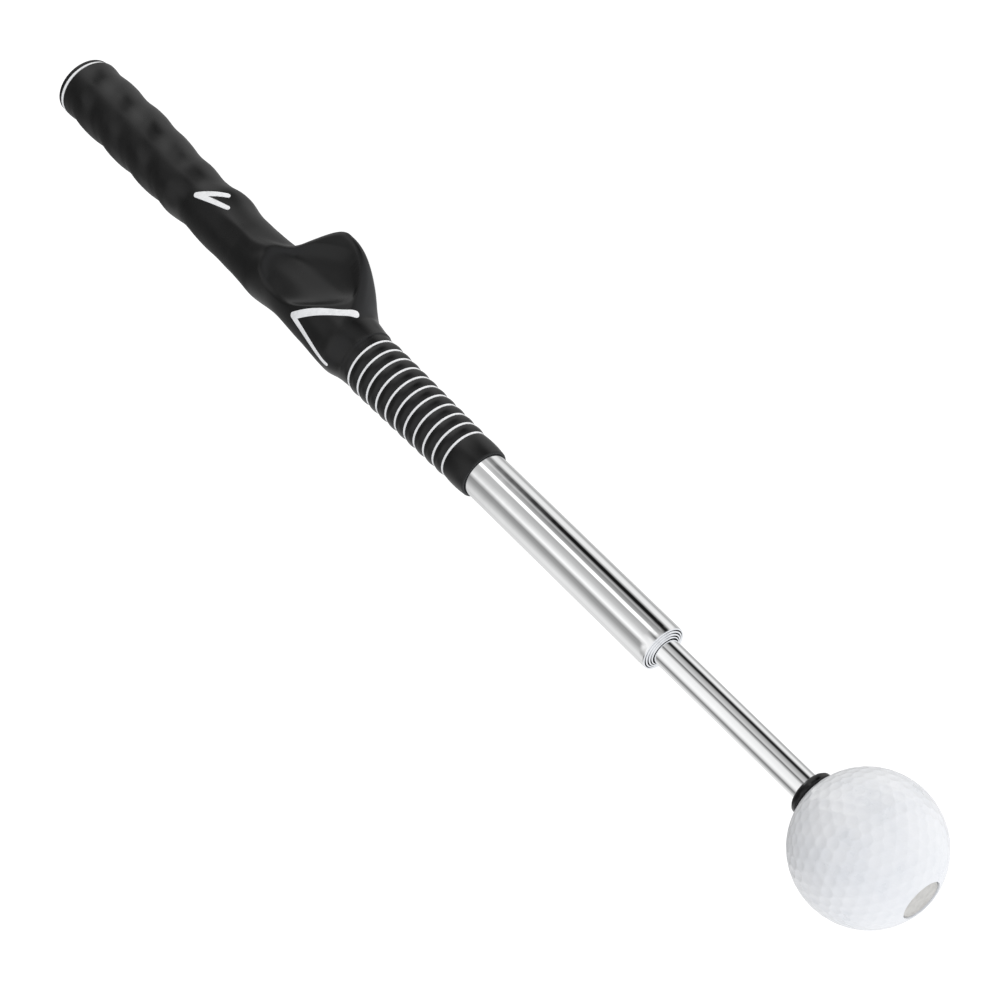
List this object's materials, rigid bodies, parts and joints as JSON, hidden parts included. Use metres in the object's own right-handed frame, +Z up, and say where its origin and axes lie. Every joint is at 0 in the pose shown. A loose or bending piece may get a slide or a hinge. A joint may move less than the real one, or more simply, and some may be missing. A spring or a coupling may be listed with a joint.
{
  "type": "golf swing trainer stick",
  "caption": "Telescopic golf swing trainer: a sculpted black rubber grip with a thumb wing, nested chrome tubes that slide and turn, and a golf ball on the thinnest one.",
  "frame": {"origin": "centre of the flat butt face of the grip, on the axis of the stick", "axes": "+X along the stick from the butt to the ball; +Z up with the stick lying on its ball and the tip of its thumb wing; the wing points to +Y and 32 degrees below the horizontal"},
  "size_m": [0.3874, 0.0451, 0.0426],
  "materials": {
    "grip_rubber": "satin moulded rubber",
    "cap_rubber": "satin moulded rubber",
    "white_mark": "white paint in moulded grooves",
    "tube_chrome": "polished",
    "bush_brass": "turned",
    "screw_steel": "zinc plated",
    "collar_plastic": "glossy",
    "ball_skin": "glossy urethane",
    "plug_plastic": "matte"
  },
  "bodies": {
    "grip": {"butt_cap": "cap_rubber", "butt_ring": "white_mark", "grip_sleeve": "grip_rubber", "v_mark_small": "white_mark", "v_mark_large": "white_mark", "ring_mark_01": "white_mark", "ring_mark_02": "white_mark", "ring_mark_03": "white_mark", "ring_mark_04": "white_mark", "ring_mark_05": "white_mark", "ring_mark_06": "white_mark", "ring_mark_07": "white_mark", "ring_mark_08": "white_mark", "ring_mark_09": "white_mark", "ring_mark_10": "white_mark", "ring_mark_11": "white_mark", "outer_tube": "tube_chrome"},
    "bush_2": {"bush_2": "bush_brass"},
    "section_2": {"tube_2": "tube_chrome"},
    "bush_3": {"bush_3": "bush_brass"},
    "section_3": {"tube_3": "tube_chrome"},
    "bush_4": {"bush_4": "bush_brass"},
    "section_4": {"tube_4": "tube_chrome"},
    "bush_5": {"bush_5": "bush_brass"},
    "ball_end": {"ball_rod": "tube_chrome", "rod_insert": "screw_steel", "ball_collar": "collar_plastic", "ball": "ball_skin", "ball_screw": "screw_steel", "screw_washer": "screw_steel", "end_plug": "plug_plastic"}
  },
  "joints": [
    {"name": "slide_2", "type": "slide", "parent": "grip", "child": "bush_2", "axis": [1, 0, 0], "range_m": [0, 0.1816]},
    {"name": "spin_2", "type": "hinge", "parent": "bush_2", "child": "section_2", "pos_m": [0.1, 0, 0], "axis": [1, 0, 0], "continuous": true},
    {"name": "slide_3", "type": "slide", "parent": "section_2", "child": "bush_3", "axis": [1, 0, 0], "range_m": [0, 0.16625]},
    {"name": "spin_3", "type": "hinge", "parent": "bush_3", "child": "section_3", "pos_m": [0.1, 0, 0], "axis": [1, 0, 0], "continuous": true},
    {"name": "slide_4", "type": "slide", "parent": "section_3", "child": "bush_4", "axis": [1, 0, 0], "range_m": [0, 0.1509]},
    {"name": "spin_4", "type": "hinge", "parent": "bush_4", "child": "section_4", "pos_m": [0.1, 0, 0], "axis": [1, 0, 0], "continuous": true},
    {"name": "slide_5", "type": "slide", "parent": "section_4", "child": "bush_5", "axis": [1, 0, 0], "range_m": [0, 0.13555]},
    {"name": "spin_5", "type": "hinge", "parent": "bush_5", "child": "ball_end", "pos_m": [0.1, 0, 0], "axis": [1, 0, 0], "continuous": true}
  ]
}
